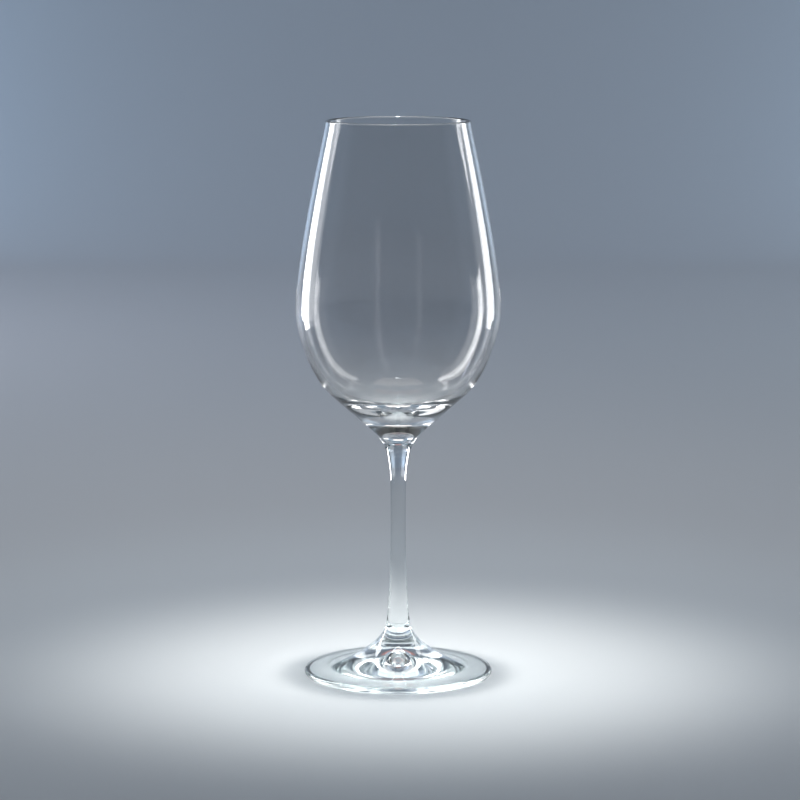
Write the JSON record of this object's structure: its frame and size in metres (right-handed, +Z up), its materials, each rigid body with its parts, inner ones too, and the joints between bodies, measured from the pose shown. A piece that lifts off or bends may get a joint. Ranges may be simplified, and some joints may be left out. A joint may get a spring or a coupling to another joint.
{
  "type": "wine glass",
  "caption": "Tall stemmed wine glass of clear glass, with an egg-shaped bowl that narrows to the rim, a slim drawn stem and a round spread foot.",
  "frame": {"origin": "centre of the foot, on the surface that the glass stands on", "axes": "+Z up along the glass's axis, from the foot through the stem to the open rim; X and Y are free, because the glass is round"},
  "size_m": [0.0844, 0.0844, 0.23],
  "materials": {
    "bowl_glass": "clear, fire-polished",
    "stem_glass": "clear, fire-polished",
    "foot_glass": "clear, fire-polished"
  },
  "bodies": {
    "root": {"bowl": "bowl_glass", "stem": "stem_glass", "foot": "foot_glass"}
  },
  "joints": []
}
